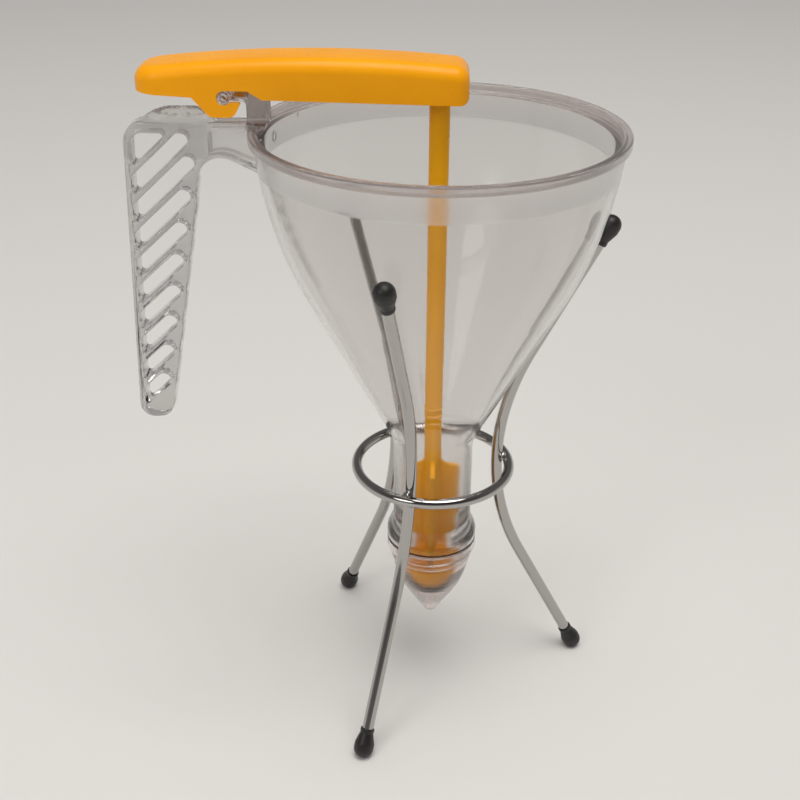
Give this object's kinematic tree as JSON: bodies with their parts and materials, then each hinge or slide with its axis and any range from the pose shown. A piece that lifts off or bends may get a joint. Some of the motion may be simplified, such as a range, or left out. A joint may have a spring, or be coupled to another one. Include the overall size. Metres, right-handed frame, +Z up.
{
  "type": "piston funnel",
  "caption": "Clear hand-held dispensing funnel with a side handle, a lever that lifts a plunger out of a screwed-on nozzle, and a wire stand on rubber-capped legs.",
  "frame": {"origin": "middle of the whole object's outline on the table, under the bowl's handle side", "axes": "+Z up, -X from the bowl's axis to the handle, +Y across the handle"},
  "size_m": [0.2438, 0.18, 0.3518],
  "materials": {
    "clear_bowl": "clear polycarbonate, polished",
    "clear_handle": "clear polycarbonate, moulded",
    "clear_nozzle": "clear polycarbonate, moulded",
    "yellow_lever": "satin gloss",
    "yellow_plunger": "satin gloss",
    "dark_seal": "matt",
    "red_seal": "matt",
    "chrome_wire": "bright plated wire",
    "black_rubber": "satin rubber"
  },
  "bodies": {
    "stand": {"stand_ring": "chrome_wire", "leg_1": "chrome_wire", "leg_2": "chrome_wire", "leg_3": "chrome_wire", "weld_1": "chrome_wire", "weld_2": "chrome_wire", "weld_3": "chrome_wire", "foot_cap_1": "black_rubber", "foot_cap_2": "black_rubber", "foot_cap_3": "black_rubber", "top_cap_1": "black_rubber", "top_cap_2": "black_rubber", "top_cap_3": "black_rubber"},
    "funnel": {"funnel_body": "clear_bowl", "handle": "clear_handle"},
    "lever": {"lever": "yellow_lever"},
    "plunger": {"plunger": "yellow_plunger", "stopper_seal": "dark_seal"},
    "gasket": {"nozzle_seal": "red_seal"},
    "nozzle": {"nozzle": "clear_nozzle"}
  },
  "joints": [
    {"name": "funnel_lift", "type": "slide", "parent": "stand", "child": "funnel", "axis": [0, 0, 1], "range_m": [0, 0.24]},
    {"name": "lever_tilt", "type": "hinge", "parent": "funnel", "child": "lever", "pos_m": [-0.06639, 0, 0.3341], "axis": [0, -1, 0], "range_deg": [0, 12]},
    {"name": "plunger_lift", "type": "slide", "parent": "funnel", "child": "plunger", "axis": [0, 0, 1], "range_m": [0, 0.021]},
    {"name": "nozzle_drop", "type": "slide", "parent": "funnel", "child": "gasket", "axis": [0, 0, -1], "range_m": [0, 0.012]},
    {"name": "nozzle_unscrew", "type": "hinge", "parent": "gasket", "child": "nozzle", "pos_m": [0.03191, 0, 0.0635], "axis": [0, 0, -1], "range_deg": [0, 1080]}
  ],
  "couplings": [
    {"joint": "plunger_lift", "follows": "lever_tilt", "m_per_rad": 0.1},
    {"joint": "nozzle_drop", "follows": "nozzle_unscrew", "m_per_rad": 0.00063662}
  ]
}
